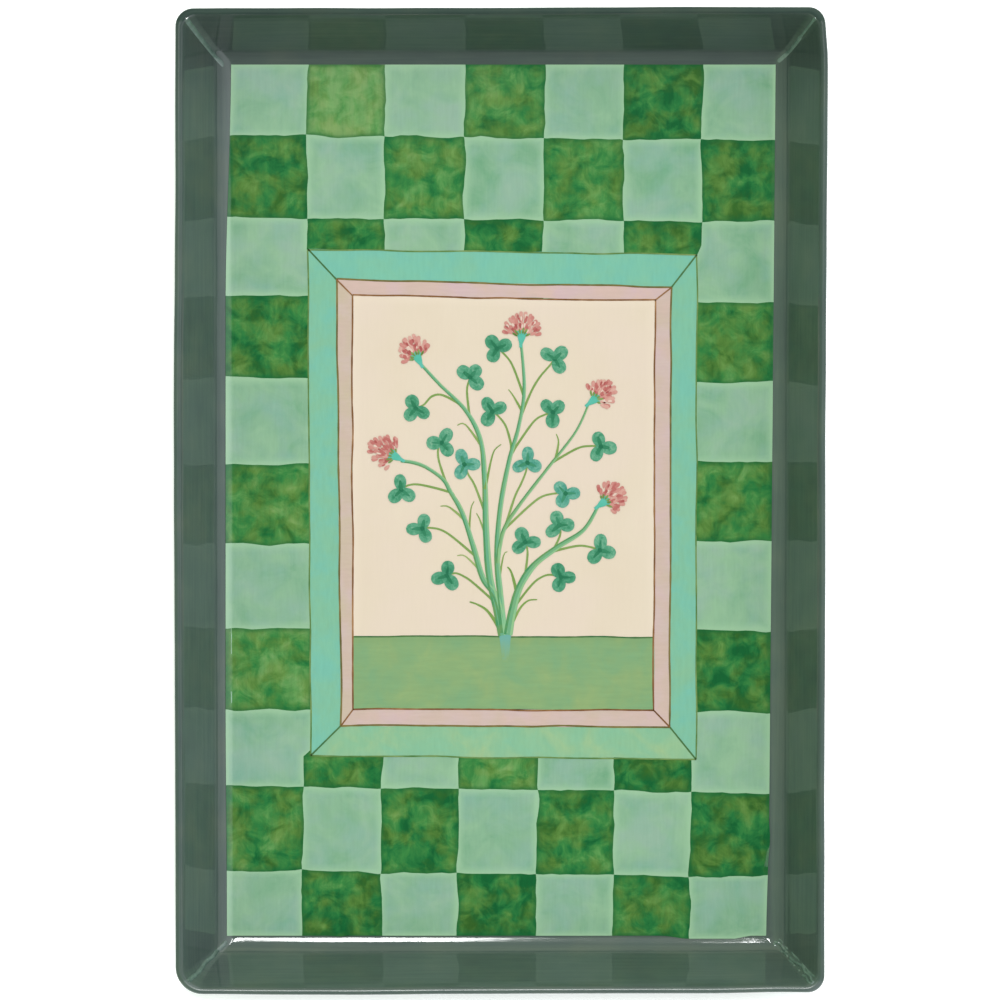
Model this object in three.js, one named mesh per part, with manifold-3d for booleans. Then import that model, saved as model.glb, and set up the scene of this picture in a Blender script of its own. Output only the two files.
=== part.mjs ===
// A small rectangular serving tray of sheet iron, after the folk painted trays that are folded by hand:
// one pan with flared walls, its rim rolled round a wire, its four mitred corners brazed, and a picture
// sheet bonded to its floor. Millimetres, +Z up, long side along Y, origin under the middle of the floor.
import * as THREE from "three";
import { mergeVertices } from "three/addons/utils/BufferGeometryUtils.js";
import Module from "manifold-3d";

const wasm = await Module();
wasm.setup();

// Driving dimensions of the tray.
const TRAY_WIDTH = 198; // along X, over the rim
const TRAY_LENGTH = 300; // along Y, over the rim
const TRAY_HEIGHT = 20; // from the underside to the top of the rim
const WALL_PLAN = 16.2; // from the edge of the flat floor out to the outside of the rim
const SHEET = 0.5; // thickness of the iron
const FOLD_RADIUS = 6.5; // inside radius of the fold between floor and wall

// The hem rolled outwards round the rim wire.
const WIRE_RADIUS = 0.5;
const WIRE_PLAY = 0.1; // room between the wire and the hem
const HEM_WRAP = (3 / 4) * 2 * Math.PI; // how far the sheet goes round, which leaves a slit under it
const HEM_INSIDE = WIRE_RADIUS + WIRE_PLAY;
const HEM_OUTSIDE = HEM_INSIDE + SHEET;

// Corners seen from above: tight at the floor, wider at the rim.
const FLOOR_CORNER = 0.8;
const RIM_CORNER = 6;

// Brazed seams in the mitres.
const BEAD_RADIUS = 0.6;
const MITRE_GAP = 0.3; // between a bead and the sheet's cut edges
const MITRE_LOW = 1.0; // where the mitre starts, up the wall from the fold
const MITRE_HIGH = 1.6; // where it stops, down the wall from the hem

// The picture sheet on the floor.
const PICTURE_SHEET = 0.2;
const PICTURE_MARGIN = 0.5; // bare floor left round it

// How finely the round stretches are cut up.
const CORNER_STEPS = 8;
const FOLD_STEPS = 6;
const HEM_STEPS = 12;
const WIRE_SIDES = 10;
const BEAD_SIDES = 10;

const FLOOR_HALF_X = TRAY_WIDTH / 2 - WALL_PLAN;
const FLOOR_HALF_Y = TRAY_LENGTH / 2 - WALL_PLAN;

// The wall's section is drawn with u outwards from the flat floor's edge and z up. The wall is the common
// tangent of the fold's circle, which lies inside the tray, and the hem's circle, which lies outside.
const foldCentre = new THREE.Vector2(0, SHEET + FOLD_RADIUS);
const hemCentre = new THREE.Vector2(WALL_PLAN - HEM_OUTSIDE, TRAY_HEIGHT - HEM_OUTSIDE);
const foldToHem = hemCentre.clone().sub(foldCentre);
const wallAngle = foldToHem.angle() + Math.asin((FOLD_RADIUS + HEM_OUTSIDE) / foldToHem.length());

const iron = new THREE.MeshStandardMaterial({ color: 0x4a5f54, roughness: 0.3, metalness: 0.1 });
const braze = new THREE.MeshStandardMaterial({ color: 0x6f8277, roughness: 0.35, metalness: 0.1 });
const steelWire = new THREE.MeshStandardMaterial({ color: 0x8d9190, roughness: 0.4, metalness: 1 });
const picture = new THREE.MeshStandardMaterial({ color: 0x7fae8c, roughness: 0.35, metalness: 0 });

// Points of an arc in the wall's section, from one angle to another.
function arc(centre, radius, from, to, steps) {
  const points = [];
  for (let i = 0; i <= steps; i++) {
    const angle = from + ((to - from) * i) / steps;
    points.push(new THREE.Vector2(Math.cos(angle), Math.sin(angle)).multiplyScalar(radius).add(centre));
  }
  return points;
}

// Radius of the tray's corners, seen from above, at a distance u outwards from the flat floor.
function cornerRadius(u) {
  return FLOOR_CORNER + ((RIM_CORNER - FLOOR_CORNER) * u) / WALL_PLAN;
}

// The tray's outline at a distance u outwards from the flat floor and a height z, anticlockwise from above.
function outlineAt({ x: u, y: z }) {
  const radius = cornerRadius(u);
  const centreX = FLOOR_HALF_X + u - radius;
  const centreY = FLOOR_HALF_Y + u - radius;
  const points = [];
  for (let corner = 0; corner < 4; corner++) {
    const start = (corner * Math.PI) / 2;
    const middle = start + Math.PI / 4;
    const x = centreX * Math.sign(Math.cos(middle));
    const y = centreY * Math.sign(Math.sin(middle));
    for (let step = 0; step <= CORNER_STEPS; step++) {
      const angle = start + ((Math.PI / 2) * step) / CORNER_STEPS;
      points.push(new THREE.Vector3(x + radius * Math.cos(angle), y + radius * Math.sin(angle), z));
    }
  }
  return points;
}

// Faces of a flat cap inside one outline, in strips across X from the far end to the near end.
function capFaces(count, first, facesUp) {
  const faces = [];
  for (let strip = 0; strip < count / 2 - 1; strip++) {
    const left = first + CORNER_STEPS + 1 + strip;
    const right = first + ((CORNER_STEPS - strip + count) % count);
    const rightNext = first + ((CORNER_STEPS - strip - 1 + count) % count);
    const quad = [right, left, left + 1, rightNext];
    const [a, b, c, d] = facesUp ? quad : quad.reverse();
    faces.push(a, b, c, a, c, d);
  }
  return faces;
}

// Carries a section round the tray. A closed section makes a ring; an open one starts and ends on the flat
// floor's edge, and is capped there by the floor's top and underside.
function roundTheTray(section, closed) {
  const rings = section.map(outlineAt);
  const count = rings[0].length;
  const faces = [];
  const bands = closed ? rings.length : rings.length - 1;
  for (let band = 0; band < bands; band++) {
    const here = band * count;
    const next = ((band + 1) % rings.length) * count;
    for (let i = 0; i < count; i++) {
      const j = (i + 1) % count;
      faces.push(here + i, next + i, next + j, here + i, next + j, here + j);
    }
  }
  if (!closed) {
    const last = (rings.length - 1) * count;
    faces.push(...capFaces(count, 0, true), ...capFaces(count, last, false));
  }
  const geometry = new THREE.BufferGeometry().setFromPoints(rings.flat());
  geometry.setIndex(faces);
  return geometry;
}

// Section of the pan: up the visible face, round the hem's outside, back through its inside, down the back.
function panSection() {
  const foldFrom = -Math.PI / 2;
  const foldTo = foldFrom + wallAngle;
  const hemFrom = wallAngle + Math.PI / 2;
  const hemTo = hemFrom - HEM_WRAP;
  return [
    ...arc(foldCentre, FOLD_RADIUS, foldFrom, foldTo, FOLD_STEPS),
    ...arc(hemCentre, HEM_OUTSIDE, hemFrom, hemTo, HEM_STEPS),
    ...arc(hemCentre, HEM_INSIDE, hemTo, hemFrom, HEM_STEPS),
    ...arc(foldCentre, FOLD_RADIUS + SHEET, foldTo, foldFrom, FOLD_STEPS),
  ];
}

// Section of the rim wire, at the middle of the hem.
function wireSection() {
  return arc(hemCentre, WIRE_RADIUS, 2 * Math.PI, 0, WIRE_SIDES).slice(1);
}

// The line through the middle of the sheet where two walls meet, from the fold up to the hem.
function mitreLine(signX, signY) {
  const up = new THREE.Vector2(Math.cos(wallAngle), Math.sin(wallAngle));
  const outwards = new THREE.Vector2(Math.sin(wallAngle), -Math.cos(wallAngle));
  const wallFoot = outwards.clone().multiplyScalar(FOLD_RADIUS).add(foldCentre);
  const wallLength = Math.sqrt(foldToHem.lengthSq() - (FOLD_RADIUS + HEM_OUTSIDE) ** 2);
  const ends = [MITRE_LOW, wallLength - MITRE_HIGH].map((along) => {
    const inSheet = wallFoot.clone().addScaledVector(up, along).addScaledVector(outwards, SHEET / 2);
    const inset = cornerRadius(inSheet.x) * (1 - Math.SQRT1_2);
    const x = signX * (FLOOR_HALF_X + inSheet.x - inset);
    const y = signY * (FLOOR_HALF_Y + inSheet.x - inset);
    return new THREE.Vector3(x, y, inSheet.y);
  });
  return new THREE.LineCurve3(...ends);
}

// A rod of the brazing metal along the middle of a mitre.
function beadGeometry(line) {
  const circle = new THREE.Shape(arc(new THREE.Vector2(), BEAD_RADIUS, 0, 2 * Math.PI, BEAD_SIDES).slice(1));
  return new THREE.ExtrudeGeometry(circle, { extrudePath: line, steps: 1, bevelEnabled: false });
}

// The slot that the mitre leaves in the wall, cut straight down through it.
function mitreSlot(line) {
  const width = 2 * (BEAD_RADIUS + MITRE_GAP);
  const plan = new THREE.Vector3(line.v2.x - line.v1.x, line.v2.y - line.v1.y, 0);
  const middle = line.getPoint(1 / 2);
  const slot = new THREE.BoxGeometry(plan.length() + width, width, 2 * TRAY_HEIGHT);
  slot.rotateZ(Math.atan2(plan.y, plan.x));
  return slot.translate(middle.x, middle.y, 0);
}

function toSolid(geometry) {
  const bare = geometry.clone();
  bare.deleteAttribute("normal");
  bare.deleteAttribute("uv");
  const merged = mergeVertices(bare);
  const vertProperties = merged.attributes.position.array;
  const triVerts = new Uint32Array(merged.index.array);
  return new wasm.Manifold(new wasm.Mesh({ numProp: 3, vertProperties, triVerts }));
}

function toGeometry(solid) {
  const { vertProperties, triVerts } = solid.getMesh();
  const geometry = new THREE.BufferGeometry();
  geometry.setAttribute("position", new THREE.BufferAttribute(vertProperties, 3));
  geometry.setIndex(new THREE.BufferAttribute(triVerts, 1));
  return geometry;
}

function piece(name, geometry, material) {
  const mesh = new THREE.Mesh(geometry, material);
  mesh.name = name;
  return mesh;
}

const CORNERS = [
  { name: "left_near", signX: -1, signY: -1 },
  { name: "right_near", signX: 1, signY: -1 },
  { name: "right_far", signX: 1, signY: 1 },
  { name: "left_far", signX: -1, signY: 1 },
];

const tray = new THREE.Group();

let pan = toSolid(roundTheTray(panSection(), false));
for (const corner of CORNERS) {
  const line = mitreLine(corner.signX, corner.signY);
  pan = pan.subtract(toSolid(mitreSlot(line)));
  tray.add(piece(`corner_braze_${corner.name}`, beadGeometry(line), braze));
}
tray.add(piece("tray_pan", toGeometry(pan), iron));
tray.add(piece("rim_wire", roundTheTray(wireSection(), true), steelWire));

const pictureWidth = 2 * (FLOOR_HALF_X - PICTURE_MARGIN);
const pictureLength = 2 * (FLOOR_HALF_Y - PICTURE_MARGIN);
const pictureSheet = piece(
  "picture_sheet",
  new THREE.BoxGeometry(pictureWidth, pictureLength, PICTURE_SHEET),
  picture,
);
pictureSheet.position.z = SHEET + PICTURE_SHEET / 2;
tray.add(pictureSheet);

export default tray;
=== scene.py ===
"""The looks of a small folded-iron tray: green lacquered walls, and a hand-painted picture on its floor.

Everything is made in metres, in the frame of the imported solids: the long side is along Y, Z is up, and
the origin is under the middle of the floor. The drawn shapes below are in millimetres.
"""

import math
import random

import bmesh
import bpy
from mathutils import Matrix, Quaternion, Vector, noise


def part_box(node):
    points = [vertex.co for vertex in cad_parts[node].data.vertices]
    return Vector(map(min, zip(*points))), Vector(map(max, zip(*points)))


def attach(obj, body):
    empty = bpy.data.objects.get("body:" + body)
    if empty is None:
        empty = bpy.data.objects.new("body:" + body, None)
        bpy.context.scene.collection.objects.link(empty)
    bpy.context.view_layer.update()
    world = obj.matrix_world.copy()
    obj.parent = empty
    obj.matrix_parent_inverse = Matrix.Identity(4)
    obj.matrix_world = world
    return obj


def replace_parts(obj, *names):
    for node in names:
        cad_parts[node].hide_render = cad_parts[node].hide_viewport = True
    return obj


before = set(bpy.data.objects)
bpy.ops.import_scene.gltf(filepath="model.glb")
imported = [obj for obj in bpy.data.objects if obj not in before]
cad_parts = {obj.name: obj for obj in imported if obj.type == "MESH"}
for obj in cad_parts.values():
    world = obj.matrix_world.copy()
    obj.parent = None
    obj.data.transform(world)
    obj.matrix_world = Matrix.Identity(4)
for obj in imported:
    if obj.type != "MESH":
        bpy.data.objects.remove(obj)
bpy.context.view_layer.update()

MM = 0.001


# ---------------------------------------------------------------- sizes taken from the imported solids

_, pan_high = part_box("tray_pan")
sheet_low, sheet_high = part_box("picture_sheet")

RIM_X = pan_high.x / MM
RIM_Y = pan_high.y / MM
TRAY_HEIGHT = pan_high.z / MM
IRON = sheet_low.z / MM
PRINT = (sheet_high.z - sheet_low.z) / MM

HEM = 1.1  # radius of the rolled edge outside
HEM_INSIDE = HEM - IRON
HEM_WRAP = math.radians(270)
# Radii of the corners seen from above: tight at the floor, and as the rim was bent at each corner.
FLOOR_CORNER = 2.0
RIM_CORNERS = {(-1, 1): 5.5, (1, 1): 5.0, (-1, -1): 8.1, (1, -1): 5.0}
CORNER_OPENING = 2.6  # how late a corner opens out from its tight foot to its wide rim

# Each wall as bent by hand: where the flat floor ends, the radius of the fold, and the radius and the
# slope of the flare that leads into the rolled edge.
WALLS = {
    "left": {"flat": 82.4, "fold": 6.9, "flare": 5.0, "flare_slope": 42},
    "right": {"flat": 83.0, "fold": 7.0, "flare": 4.0, "flare_slope": 46},
    "far": {"flat": 134.2, "fold": 6.0, "flare": 3.0, "flare_slope": 50},
    "near": {"flat": 134.2, "fold": 6.4, "flare": 3.0, "flare_slope": 46},
}


# ---------------------------------------------------------------- small helpers


def linear(colour):
    """An sRGB hex colour as linear light, with alpha."""
    parts = [int(colour[i : i + 2], 16) / 255 for i in (1, 3, 5)]
    return [c / 12.92 if c <= 0.04045 else ((c + 0.055) / 1.055) ** 2.4 for c in parts] + [1.0]


def mix(a, b, share):
    return a + (b - a) * share


def smooth(low, high, value):
    share = min(max((value - low) / (high - low), 0.0), 1.0)
    return share * share * (3 - 2 * share)


def waver(x, y, reach, seed=0.0):
    """A slow hand tremor between about -1 and 1 that repeats over roughly reach millimetres."""
    return noise.noise(Vector((x / reach, y / reach, seed))) * 1.6


def add(tree, kind, wires=None, stops=None, **settings):
    """Adds one shader node: its settings, what goes into each socket, and the stops of a ramp."""
    made = tree.nodes.new("ShaderNode" + kind)
    for name, value in settings.items():
        setattr(made, name, value)
    if stops:
        ramp = made.color_ramp
        while len(ramp.elements) < len(stops):
            ramp.elements.new(0.5)
        for element, (position, colour) in zip(ramp.elements, stops):
            element.position = position
            element.color = linear(colour)
    for name, value in (wires or {}).items():
        if isinstance(value, bpy.types.Node):
            tree.links.new(value.outputs[0], made.inputs[name])
        elif isinstance(value, bpy.types.NodeSocket):
            tree.links.new(value, made.inputs[name])
        else:
            made.inputs[name].default_value = value
    return made


def new_material(name):
    material = bpy.data.materials.new(name)
    material.use_nodes = True
    tree = material.node_tree
    tree.nodes.clear()
    return material, tree


# ---------------------------------------------------------------- camera, floor and light


def set_up_camera():
    """A long lens straight above the tray, with the far end of the picture at the top."""
    camera = bpy.data.cameras.new("camera")
    camera.lens = 140
    camera.sensor_width = 36
    camera.clip_start = 0.05
    camera.clip_end = 20
    holder = bpy.data.objects.new("camera", camera)
    holder.location = (0, 0.3 * MM, 1.203)
    bpy.context.collection.objects.link(holder)
    bpy.context.scene.camera = holder


def paper_floor():
    """A wide sheet of white studio paper, lit a little from below so that it stays white by the tray."""
    half = 4.0
    mesh = bpy.data.meshes.new("studio_floor")
    corners = [(-half, -half), (half, -half), (half, half), (-half, half)]
    mesh.from_pydata([(x, y, -0.02 * MM) for x, y in corners], [], [(0, 1, 2, 3)])
    material, tree = new_material("white_studio_paper")
    coordinates = add(tree, "TexCoord")
    fibres = add(
        tree, "TexNoise", {"Vector": coordinates.outputs["Object"], "Scale": 900.0, "Detail": 2.0}
    )
    colour = add(tree, "ValToRGB", {"Fac": fibres}, stops=[(0.3, "#f4f4f4"), (0.7, "#f8f8f8")])
    surface = add(
        tree,
        "BsdfPrincipled",
        {
            "Base Color": colour,
            "Roughness": 0.9,
            "Specular IOR Level": 0.1,
            "Emission Color": (1, 1, 1, 1),
            "Emission Strength": 0.3,
        },
    )
    add(tree, "OutputMaterial", {"Surface": surface})
    mesh.materials.append(material)
    floor = bpy.data.objects.new("studio_floor", mesh)
    bpy.context.collection.objects.link(floor)


def softbox(name, centre, target, width, height, radiance, turned):
    """A flat lamp of even radiance that faces its target, turned in its own plane by some degrees."""
    lamp = bpy.data.lights.new(name, "AREA")
    lamp.shape = "RECTANGLE"
    lamp.size = width
    lamp.size_y = height
    lamp.energy = radiance * math.pi * width * height
    holder = bpy.data.objects.new(name, lamp)
    holder.location = centre
    facing = (Vector(target) - Vector(centre)).to_track_quat("-Z", "Y")
    facing.rotate(Quaternion((0, 0, 1), math.radians(turned)))
    holder.rotation_euler = facing.to_euler()
    bpy.context.collection.objects.link(holder)


# Soft light from the sides of the studio: the direction it comes from, where it starts and is full, where
# it starts to fade and has faded, its strength and its tint.
SIDE_LIGHTS = {
    "right": ("X", 1, (0.075, 0.15), (0.45, 1.0), 1.25, "#f3f6ff"),
    "left": ("X", -1, (0.15, 0.4), (0.7, 1.1), 0.5, "#cfffba"),
    "near": ("Y", -1, (0.5, 0.58), (0.66, 0.8), 0.12, "#f4f8ff"),
    "far": ("Y", 1, (0.7, 0.95), (1.5, 2.0), 0.56, "#f4ffc8"),
}


def studio_sky():
    """Soft light from all round: dim overhead, bright from the right, a little from the other sides."""
    world = bpy.data.worlds.new("studio")
    world.use_nodes = True
    tree = world.node_tree
    tree.nodes.clear()
    toward = add(tree, "TexCoord")
    parts = add(tree, "SeparateXYZ", {"Vector": toward.outputs["Generated"]})
    dims = {"From Min": 0.9935, "From Max": 0.975, "To Min": 0.12, "To Max": 0.42}
    overhead = add(tree, "MapRange", {"Value": parts.outputs["Z"], **dims})
    glow = add(tree, "Background", {"Color": linear("#fbfdff"), "Strength": overhead})
    for axis, sign, (start, full), (fading, faded), strength, tint in SIDE_LIGHTS.values():
        toward_side = parts.outputs[axis]
        rises = {"From Min": sign * start, "From Max": sign * full, "To Max": strength}
        rise = add(tree, "MapRange", {"Value": toward_side, **rises})
        falls = {"From Min": sign * fading, "From Max": sign * faded, "To Min": 1.0, "To Max": 0.35}
        fall = add(tree, "MapRange", {"Value": toward_side, **falls})
        power = add(tree, "Math", {0: rise, 1: fall}, operation="MULTIPLY")
        side = add(tree, "Background", {"Color": linear(tint), "Strength": power})
        glow = add(tree, "AddShader", {0: glow, 1: side})
    add(tree, "OutputWorld", {"Surface": glow})
    bpy.context.scene.world = world


# Tall windows of light high over the far end: the place from left to right, the turn in degrees, the
# width and the two ends.
WINDOWS = [
    ("window_left", -0.549, -2.6, 0.12, 1.2, 4.5),
    ("window_middle", -0.305, 0.0, 0.4, 1.2, 4.5),
    ("window_inner", -0.115, 1.6, 0.12, 1.2, 4.5),
    ("window_right", 0.84, 0.0, 0.25, 1.2, 6.0),
]
WINDOW_HEIGHT = 8.0
WINDOW_RADIANCE = 40.0


def studio_light():
    """The sky, and the windows, which shine along the near fold."""
    studio_sky()
    for name, place, turned, wide, start, end in WINDOWS:
        middle = (start + end) / 2
        centre, below = (place, middle, WINDOW_HEIGHT), (place, middle, 0)
        softbox(name, centre, below, wide, end - start, WINDOW_RADIANCE, turned)
    bpy.context.scene.view_settings.view_transform = "Standard"
    bpy.context.scene.view_settings.look = "None"


# ---------------------------------------------------------------- the pan


def wall_section(rim, flat, fold, flare, flare_slope):
    """Points (reach from the tray's middle, height, distance along the sheet) of one wall's section.

    It goes up the inside from the flat floor, out through the flare, over the rolled edge, back through
    the roll and down the outside. Every wall has the same number of points.
    """
    hem_x, hem_z = rim - HEM, TRAY_HEIGHT - HEM
    lip = math.radians(flare_slope)
    flare_x = hem_x + (flare - HEM) * math.sin(lip)
    flare_z = hem_z - (flare - HEM) * math.cos(lip)
    fold_x, fold_z = flat, IRON + fold
    away = math.hypot(flare_x - fold_x, flare_z - fold_z)
    slope = math.atan2(flare_z - fold_z, flare_x - fold_x) + math.asin((fold + flare) / away)
    up, roll = math.pi / 2, HEM_WRAP
    points = []

    def arc(centre_x, centre_z, radius, start, stop, steps):
        for i in range(steps + 1):
            angle = mix(start, stop, i / steps)
            points.append((centre_x + radius * math.cos(angle), centre_z + radius * math.sin(angle)))

    def straight(steps, target):
        start = points[-1]
        for i in range(1, steps):
            points.append((mix(start[0], target[0], i / steps), mix(start[1], target[1], i / steps)))

    def on_circle(centre_x, centre_z, radius, angle):
        return centre_x + radius * math.cos(angle), centre_z + radius * math.sin(angle)

    arc(fold_x, fold_z, fold, -up, slope - up, 18)
    straight(12, on_circle(flare_x, flare_z, flare, slope + up))
    arc(flare_x, flare_z, flare, slope + up, lip + up, 8)
    arc(hem_x, hem_z, HEM, lip + up - 0.05, lip + up - roll, 22)
    arc(hem_x, hem_z, HEM_INSIDE, lip + up - roll, lip + up - 0.05, 12)
    arc(flare_x, flare_z, flare - IRON, lip + up, slope + up, 8)
    straight(12, on_circle(fold_x, fold_z, fold + IRON, slope - up))
    arc(fold_x, fold_z, fold + IRON, slope - up, -up, 18)
    along = 0.0
    section = []
    for i, (reach, height) in enumerate(points):
        if i:
            along += math.dist(points[i - 1], (reach, height))
        section.append((reach, height, along))
    return section


# How far the rim stands from the tray's middle on each side.
RIMS = {"left": RIM_X, "right": RIM_X, "far": RIM_Y, "near": RIM_Y}
sections = {name: wall_section(RIMS[name], **wall) for name, wall in WALLS.items()}
SECTION_STEPS = len(sections["left"])
ROLL_STARTS, ROLL_ENDS = 39, 62  # the steps of a section that lie on the rolled edge
WALL_TOP = 30  # a step near the top of the wall's inside
WORN_END = 4  # how far in from the end of the tray the rolled edge counts as the far or near one
CORNER_STEPS = 12
SIDE_STEPS = 70
END_STEPS = 46


def outline_steps():
    """Stations round the tray from the right-hand far corner, anticlockwise: (corners, turn, slide)."""
    steps = []
    signs = [(1, 1), (-1, 1), (-1, -1), (1, -1)]
    for corner, here in enumerate(signs):
        following = signs[(corner + 1) % 4]
        for i in range(CORNER_STEPS + 1):
            steps.append((here, following, (corner + i / CORNER_STEPS) * math.pi / 2, 0.0))
        straight = END_STEPS if corner % 2 == 0 else SIDE_STEPS
        for i in range(1, straight):
            steps.append((here, following, (corner + 1) * math.pi / 2, i / straight))
    return steps


def rim_waver(x, y, turn):
    """How far the hand-bent wall stands out of true at the rim, outwards."""
    side = 0.26 * (1 - smooth(25, 75, abs(y + 8))) * (1 if x < 0 else 0.2)
    end = 0.3 * smooth(-20, 60, x) if y > 0 else 0.3 * (1 - smooth(10, 45, abs(x + 52)))
    bent = mix(side, end, math.sin(turn) ** 2)
    return bent + 0.10 * waver(x, y, 60, 3.1) + 0.08 * waver(x, y, 22, 8.7) + 0.08


def lean(y):
    """How far the rim stands over to the right near the far end of the tray."""
    return 0.5 * smooth(30, 120, y)


def taper(y):
    """The far end of the tray is a hair wider than the near end."""
    return 1 + 0.0036 * y / RIM_Y


def pan_point(station, level, table=None):
    """One point of the pan, or of another section carried round the tray, in millimetres."""
    table = table or sections
    here, following, turn, slide = station
    centres, shares, radii, heights = [], [], [], []
    for sign_x, sign_y in (here, following):
        side = "right" if sign_x > 0 else "left"
        end = "far" if sign_y > 0 else "near"
        side_reach, side_height, _ = table[side][level]
        end_reach, end_height, _ = table[end][level]
        share = (side_reach - WALLS[side]["flat"]) / (RIM_X - WALLS[side]["flat"])
        share = max(share, 0.0)
        radius = mix(FLOOR_CORNER, RIM_CORNERS[sign_x, sign_y], share**CORNER_OPENING)
        centres.append((sign_x * (side_reach - radius), sign_y * (end_reach - radius)))
        shares.append(share)
        radii.append(radius)
        heights.append(mix(side_height, end_height, math.sin(turn) ** 2))
    radius = mix(radii[0], radii[1], slide)
    x = mix(centres[0][0], centres[1][0], slide) + radius * math.cos(turn)
    y = mix(centres[0][1], centres[1][1], slide) + radius * math.sin(turn)
    z = mix(heights[0], heights[1], slide)
    up_wall = smooth(0.0, 1.0, mix(shares[0], shares[1], slide))
    stray = rim_waver(x, y, turn) * up_wall
    pushed_in = 0.75 * smooth(134, 147, y) * up_wall if x > 0 else 0.0
    pushed_up = 0.5 * smooth(64, 88, x) * up_wall if y < 0 else 0.0
    x = (x + stray * math.cos(turn)) * taper(y) + lean(y) * up_wall - pushed_in
    y = y + stray * math.sin(turn) + pushed_up
    return x, y, z


def floor_height(x, y):
    """Height of the iron's upper face on the floor and up the start of the folds, in millimetres."""
    height = IRON
    side = WALLS["right" if x > 0 else "left"]
    end = WALLS["far" if y > 0 else "near"]
    for reach, wall in ((abs(x) / taper(y), side), (abs(y), end)):
        past = max(reach - wall["flat"], 0.0)
        height += wall["fold"] - math.sqrt(wall["fold"] ** 2 - past**2)
    return height


def make_object(name, corners, faces, material, uvs=None, brush=None):
    """A mesh object from points in millimetres, with its brush values and flat coordinates."""
    mesh = bpy.data.meshes.new(name)
    mesh.from_pydata([(x * MM, y * MM, z * MM) for x, y, z in corners], [], faces)
    if brush:
        layer = mesh.attributes.new("brush", "FLOAT_VECTOR", "POINT")
        layer.data.foreach_set("vector", [value for point in brush for value in point])
    if uvs:
        layer = mesh.uv_layers.new(name="sheet")
        flat = []
        for polygon in mesh.polygons:
            for corner in range(len(polygon.vertices)):
                flat.extend(uvs[polygon.index][corner])
        layer.data.foreach_set("uv", flat)
    shell = bmesh.new()
    shell.from_mesh(mesh)
    bmesh.ops.recalc_face_normals(shell, faces=shell.faces)
    shell.to_mesh(mesh)
    shell.free()
    mesh.polygons.foreach_set("use_smooth", [True] * len(mesh.polygons))
    mesh.set_sharp_from_angle(angle=math.radians(40))
    mesh.materials.append(material)
    made = bpy.data.objects.new(name, mesh)
    bpy.context.collection.objects.link(made)
    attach(made, "root")
    return made


def build_pan(material, *edge_materials):
    """The whole pan. Its rolled edge takes the edge materials: along the sides, near and far."""
    stations = outline_steps()
    count = len(stations)
    corners = [pan_point(station, level) for level in range(SECTION_STEPS) for station in stations]
    around = [0.0]
    top = corners[WALL_TOP * count : (WALL_TOP + 1) * count]
    for first, second in zip(top, top[1:] + top[:1]):
        around.append(around[-1] + math.dist(first, second))
    faces, uvs = [], []
    for level in range(SECTION_STEPS - 1):
        low, high = sections["left"][level][2], sections["left"][level + 1][2]
        for i in range(count):
            j = (i + 1) % count
            here, above = level * count, (level + 1) * count
            faces.append((here + i, above + i, above + j, here + j))
            left, right = around[i], around[i + 1]
            uvs.append([(left, low), (left, high), (right, high), (right, low)])
    for first, upward in ((0, True), ((SECTION_STEPS - 1) * count, False)):
        for strip in range(count // 2 - 1):
            left = first + CORNER_STEPS + END_STEPS + strip
            right = first + (CORNER_STEPS - strip - 1) % count
            quad = [right, left, left + 1, first + (CORNER_STEPS - strip - 2) % count]
            faces.append(tuple(quad if upward else quad[::-1]))
            uvs.append([(corners[v][0], corners[v][1]) for v in faces[-1]])
    made = make_object("tray_pan_lacquered", corners, faces, material, uvs=uvs)
    for edge_material in edge_materials:
        made.data.materials.append(edge_material)
    for polygon in made.data.polygons:
        level = polygon.index // count
        if ROLL_STARTS <= level < ROLL_ENDS:
            y = polygon.center.y / MM
            polygon.material_index = 2 if y < WORN_END - RIM_Y else 3 if y > RIM_Y - WORN_END else 1
    return made


# ---------------------------------------------------------------- materials


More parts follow.
